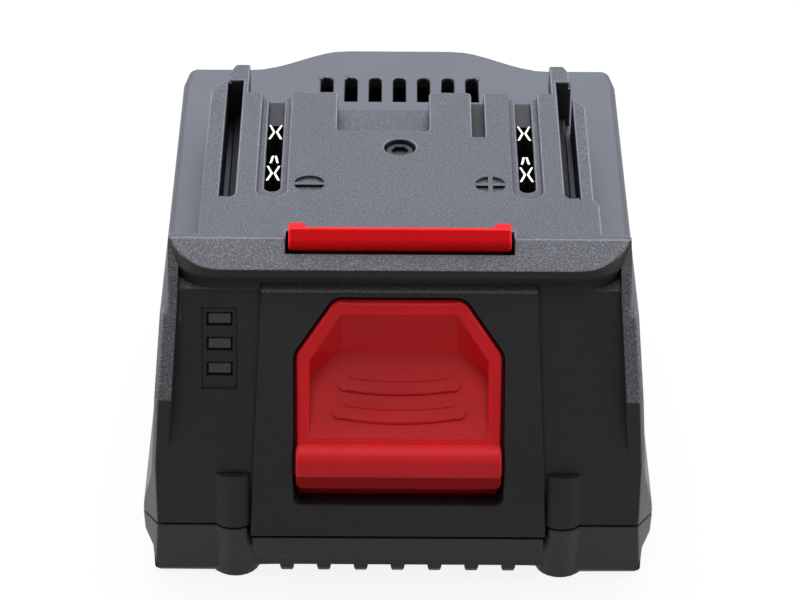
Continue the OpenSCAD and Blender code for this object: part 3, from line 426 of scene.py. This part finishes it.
# The rim round the scoop runs flat up to its top: points there are moved on to the plane of the rim.
RIM_AHEAD, RIM_RISE = 0.9, 0.02
RIM_TOP = 43.35 * MM
RIM_Y = (-34.1 * MM, -33.2 * MM)
shape = merged("release_latch")
rim = max((face for face in shape.faces if face.normal.y < -RIM_AHEAD and face.normal.z > RIM_RISE),
          key=lambda face: face.calc_area())
rim_at, rim_lean = rim.verts[0].co.copy(), rim.normal.z / rim.normal.y
for point in shape.verts:
    if point.co.z > RIM_TOP and RIM_Y[0] < point.co.y < RIM_Y[1]:
        point.co.y = rim_at.y - rim_lean * (point.co.z - rim_at.z)
join_flat(shape)
latch = moulding("latch", "release_latch", shape, LATCH_EDGE, 3, (NOSE,))

# Where each finish begins and ends, in mm, and how far a face there has to turn.
SCOOP_X, SCOOP_Y, SCOOP_Z, SCOOP_RISE = 13, -43, (24.3, 36), 0.3
LIP_Y, LIP_Z, LIP_FALL = -41, 22, 0.2
HOOK_Z = 47


def latch_zone(face):
    """The finish of a face of the latch."""
    x, y, z = face.center / MM
    in_scoop = abs(x) < SCOOP_X and SCOOP_Z[0] < z < SCOOP_Z[1] and y > SCOOP_Y
    # Painted shade: the scoop's up-facing floor and the lip's underside get darker copies of the red.
    if in_scoop and face.normal.z > SCOOP_RISE:
        return "scoop_floor"
    if face.normal.z < -LIP_FALL and y < LIP_Y and z < LIP_Z:
        return "underside"
    return "hook" if z > HOOK_Z else "satin"


# The red is bright and satin where hands rub it. The scoop's up-facing floor is a darker copy, painted shade of the
# recess, the lip's underside a deep matt copy, painted shade under the lip, and the hook is clear red, which tools
# scrape.
coat(latch, {"satin": moulded_plastic("red_satin_nylon", "#f01d24", "#f4282f", 0.45, 0.02, 0.47, 0.28),
             "scoop_floor": moulded_plastic("red_nylon_scoop_painted_shade", "#d8161d", "#e0242c", 0.5, 0.02, 0.5, 0.25),
             "underside": moulded_plastic("red_nylon_under_lip_painted_shade", "#ae0a10", "#b81018", 0.45, 0.02, 0.55, 0.1),
             "hook": moulded_plastic("red_worn_hook_nylon", "#ee0a12", "#f0141c", 0.45, 0.02, 0.55, 0.12)},
     latch_zone)


def sized_tree(name, sizes):
    """A Geometry Nodes tree with an input for each size and for the finish, and the inputs' identifiers."""
    tree = bpy.data.node_groups.new(name, "GeometryNodeTree")
    for way in ("INPUT", "OUTPUT"):
        tree.interface.new_socket("Geometry", in_out=way, socket_type="NodeSocketGeometry")
    kinds = {**dict.fromkeys(sizes, "NodeSocketFloat"), "Finish": "NodeSocketMaterial"}
    keys = {key: tree.interface.new_socket(key, in_out="INPUT", socket_type=kind).identifier
            for key, kind in kinds.items()}
    return tree, keys


def on_spots(name, tree, keys, values, shape, spots, nodes):
    """End a tree with a copy of its shape on each spot, and make of it one plain mesh that stands for the nodes."""
    given = add(tree, "NodeGroupInput").outputs
    spread = add(tree, "GeometryNodeInstanceOnPoints", {"Points": given["Geometry"], "Instance": shape})
    real = add(tree, "GeometryNodeRealizeInstances", {"Geometry": spread.outputs[0]})
    coated = add(tree, "GeometryNodeSetMaterial", {"Geometry": real.outputs[0], "Material": given["Finish"]})
    add(tree, "NodeGroupOutput", {"Geometry": coated.outputs[0]})
    mesh = bpy.data.meshes.new(name)
    mesh.from_pydata(spots, [], [])
    piece = in_scene(name, mesh)
    maker = piece.modifiers.new(name, "NODES")
    maker.node_group = tree
    for key, value in values.items():
        maker[keys[key]] = value
    make_plain(piece)
    for face in piece.data.polygons:
        face.use_smooth = True
    piece.data.set_sharp_from_angle(angle=TURNED_CREASE)
    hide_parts(*nodes)
    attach(piece, frame["nodes"][nodes[0]]["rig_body"])
    return piece


# The spring wire is drawn steel, mid grey, with streaks of gloss from the die.
WIRE_R = 0.35 * MM
COIL_STEPS, WIRE_SIDES = 24, 10
spring_low, spring_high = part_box("latch_spring_right")
spring_sizes = {"Coil Radius": (spring_high[0] - spring_low[0]) / 2 - WIRE_R, "Wire Radius": WIRE_R, "Turns": 6.0,
                "Height": spring_high[2] - spring_low[2] - 2 * WIRE_R}
tree, keys = sized_tree("coil_spring", spring_sizes)
size = add(tree, "NodeGroupInput").outputs
coil = add(tree, "GeometryNodeCurveSpiral", {
    "Resolution": COIL_STEPS, "Rotations": size["Turns"], "Height": size["Height"],
    "Start Radius": size["Coil Radius"], "End Radius": size["Coil Radius"]})
wire = add(tree, "GeometryNodeCurvePrimitiveCircle", {"Resolution": WIRE_SIDES, "Radius": size["Wire Radius"]})
wound = add(tree, "GeometryNodeCurveToMesh", {
    "Curve": coil.outputs["Curve"], "Profile Curve": wire.outputs["Curve"], "Fill Caps": True})
spring_sizes["Finish"] = strip_metal("drawn_spring_wire", "#9a9a9c", 0.3, 0.15)
spring_x, spring_y = ((spring_low[i] + spring_high[i]) / 2 for i in (X, Y))
feet = [(x, spring_y, spring_low[2] + WIRE_R) for x in (-spring_x, spring_x)]
springs = on_spots("latch_springs", tree, keys, spring_sizes, wound.outputs["Mesh"], feet,
                   ("latch_spring_left", "latch_spring_right"))
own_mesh(springs)

# Screws: blackened steel, each with a six-sided socket. Four close the case from below and form their own
# thread in the columns of the upper case. The one in the deck holds the contact block, and is coloured darker.
HEAD_SIDES, SHANK_SIDES, THREAD_STEPS, THREAD_SIDES, SOCKET_SIDES = 32, 24, 16, 6, 6
DECK_SCREW_EDGE = 0.2 * MM
screw_sizes_mm = {"Head Radius": 2.5, "Head Height": 2.0, "Head Middle": 1.0,
                  "Chamfer Foot": 2.0, "Chamfer Top": 5.0, "Chamfer Height": 3.0, "Chamfer Start": -0.1,
                  "Socket Radius": 1.3, "Socket Cut": 2.4,
                  "Core Radius": 1.15, "Core Length": 11.5, "Core Middle": 7.25,
                  "Tip Radius": 0.6, "Tip Length": 1.0, "Tip Start": 13.0,
                  "Thread Wire": 0.28, "Thread Length": 10.0, "Thread Start": 2.7}
screw_sizes = {key: value * MM for key, value in screw_sizes_mm.items()}
screw_sizes["Thread Turns"] = 9.0
tree, keys = sized_tree("case_screw", screw_sizes)
size = add(tree, "NodeGroupInput").outputs
coil = add(tree, "GeometryNodeCurveSpiral", {
    "Resolution": THREAD_STEPS, "Rotations": size["Thread Turns"], "Height": size["Thread Length"],
    "Start Radius": size["Core Radius"], "End Radius": size["Core Radius"]})
wire = add(tree, "GeometryNodeCurvePrimitiveCircle", {"Resolution": THREAD_SIDES, "Radius": size["Thread Wire"]})
solids = {
    "Head Middle": add(tree, "GeometryNodeMeshCylinder", {
        "Vertices": HEAD_SIDES, "Radius": size["Head Radius"], "Depth": size["Head Height"]}),
    "Chamfer Start": add(tree, "GeometryNodeMeshCone", {
        "Vertices": HEAD_SIDES, "Radius Bottom": size["Chamfer Foot"], "Radius Top": size["Chamfer Top"],
        "Depth": size["Chamfer Height"]}),
    "Core Middle": add(tree, "GeometryNodeMeshCylinder", {
        "Vertices": SHANK_SIDES, "Radius": size["Core Radius"], "Depth": size["Core Length"]}),
    "Tip Start": add(tree, "GeometryNodeMeshCone", {
        "Vertices": SHANK_SIDES, "Radius Bottom": size["Core Radius"], "Radius Top": size["Tip Radius"],
        "Depth": size["Tip Length"]}),
    "Thread Start": add(tree, "GeometryNodeCurveToMesh", {
        "Curve": coil.outputs["Curve"], "Profile Curve": wire.outputs["Curve"], "Fill Caps": True}),
}
placed = {}
for height, solid in solids.items():
    up = add(tree, "ShaderNodeCombineXYZ", {"Z": size[height]})
    placed[height] = add(tree, "GeometryNodeTransform", {
        "Geometry": solid.outputs["Mesh"], "Translation": up.outputs[0]}).outputs[0]
head = add(tree, "GeometryNodeMeshBoolean", {
    "Mesh 2": [placed.pop("Head Middle"), placed.pop("Chamfer Start")]}, operation="INTERSECT")
key_hole = add(tree, "GeometryNodeMeshCylinder", {
    "Vertices": SOCKET_SIDES, "Radius": size["Socket Radius"], "Depth": size["Socket Cut"]})
socketed = add(tree, "GeometryNodeMeshBoolean", {
    "Mesh 1": head.outputs["Mesh"], "Mesh 2": key_hole.outputs["Mesh"]}, operation="DIFFERENCE")
whole = add(tree, "GeometryNodeJoinGeometry", {"Geometry": [socketed.outputs["Mesh"], *placed.values()]})

# Blackened steel is dark with a half-matt gleam. The one in the deck is coloured darker still.
screw_sizes["Finish"] = strip_metal("blackened_steel", "#4c4c4f", 0.38, 0.2)
screw_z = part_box("case_screws")[0][2]
screw_spots = [(x * MM, y * MM, screw_z) for x, y in ((-24.4, -38.15), (24.4, -38.15), (-13, 37.85), (13, 37.85))]
screws = on_spots("threaded_case_screws", tree, keys, screw_sizes, whole.outputs[0], screw_spots, ("case_screws",))

top_screw = moulding("deck_screw_head", "deck_screw", merged("deck_screw"), DECK_SCREW_EDGE)
top_screw.data.materials.append(strip_metal("darker_black_steel", "#29292c", 0.42, 0.2))

# Floor, light and camera: white paper under soft light from above and behind, seen from in front and above.
# The background is white to the eye, to gloss and through clear plastic, and adds little light of its own.
FILL_LIGHT = 0.16         # the background's light on matt surfaces, against 1 where it is seen
SHADED = 0.12             # the share of the floor's white that takes shadow
REACH = 3.0
scene = bpy.context.scene
scene.view_settings.view_transform = "Standard"


def background_seen(tree):
    """1 where the eye meets the background, itself, in gloss or through clear plastic, and 0 elsewhere."""
    rays = add(tree, "ShaderNodeLightPath").outputs
    seen = rays["Is Camera Ray"]
    for ray in ("Is Glossy Ray", "Is Transmission Ray"):
        seen = add(tree, "ShaderNodeMath", {0: seen, 1: rays[ray]}, operation="MAXIMUM").outputs[0]
    return seen


world = bpy.data.worlds.new("white_studio")
world.use_nodes = True
scene.world = world
tree = world.node_tree
strength = add(tree, "ShaderNodeMapRange", {"Value": background_seen(tree), "To Min": FILL_LIGHT, "To Max": 1.0})
fill(tree, tree.nodes["Background"], {"Color": linear("#ffffff"), "Strength": strength.outputs["Result"]})

# The paper is matt, and grey to the light that it sends on to the object, so that it doesn't flood it.
floor_mesh = bpy.data.meshes.new("floor")
floor_corners = [(-REACH, -REACH, 0), (REACH, -REACH, 0), (REACH, REACH, 0), (-REACH, REACH, 0)]
floor_mesh.from_pydata(floor_corners, [], [range(len(floor_corners))])
floor = in_scene("floor", floor_mesh)
paper, tree, shader = new_material("white_paper")
fill(tree, shader, {"Base Color": linear("#8c8c8c"), "Roughness": 0.9})
glow = add(tree, "ShaderNodeEmission", {"Color": linear("#ffffff"), "Strength": 1.0})
white = add(tree, "ShaderNodeBsdfDiffuse", {"Color": linear("#f4f4f4")})
lit = add(tree, "ShaderNodeMixShader", {0: SHADED, 1: glow.outputs[0], 2: white.outputs[0]})
mixed = add(tree, "ShaderNodeMixShader", {0: background_seen(tree), 1: shader.outputs[0], 2: lit.outputs[0]})
fill(tree, tree.nodes["Material Output"], {"Surface": mixed.outputs[0]})
floor.data.materials.append(paper)

# Square soft boxes turned to the middle of the pack: place and width in metres, watts, and colour.
MIDDLE = Vector((0, 0, 0.03))
soft_boxes = {"top_box": ((0.0, 0.5, 0.72), 0.9, 9.5, "#e9f0ff"),
              "front_box": ((0.0, -0.3, 0.9), 0.5, 2.0, "#fffdfa"),
              "left_box": ((-0.8, 0.15, 0.3), 0.5, 6.0, "#ffffff"),
              "right_box": ((0.8, 0.15, 0.3), 0.5, 6.0, "#ffffff")}
for name, (place, width, watts, colour) in soft_boxes.items():
    lamp = bpy.data.lights.new(name, "AREA")
    lamp.size = width
    lamp.energy = watts
    lamp.color = linear(colour)[:3]
    box = in_scene(name, lamp)
    box.location = place
    box.rotation_euler = (MIDDLE - Vector(place)).to_track_quat("-Z", "Y").to_euler()

# The camera is the one fitted to the photograph. It swings a little about the pack's front edge.
ELEVATION, ROLL, YAW = radians(33.0), radians(0.5), radians(-0.3)
FOCAL_PX, PHOTO_W = 3388, 800
CAMERA_AT = (0, -446.75 * MM, 312.7 * MM)
camera = bpy.data.cameras.new("photo_camera")
camera.sensor_width = 36
camera.lens = camera.sensor_width * FOCAL_PX / PHOTO_W
eye = in_scene("photo_camera", camera)
turn = Matrix.Rotation(radians(90) - ELEVATION, 4, "X") @ Matrix.Rotation(ROLL, 4, "Z")
pivot = Matrix.Translation((0, cad_box[0][1], 0))
swing = pivot @ Matrix.Rotation(YAW, 4, "Z") @ pivot.inverted()
eye.matrix_world = swing @ Matrix.Translation(CAMERA_AT) @ turn
scene.camera = eye
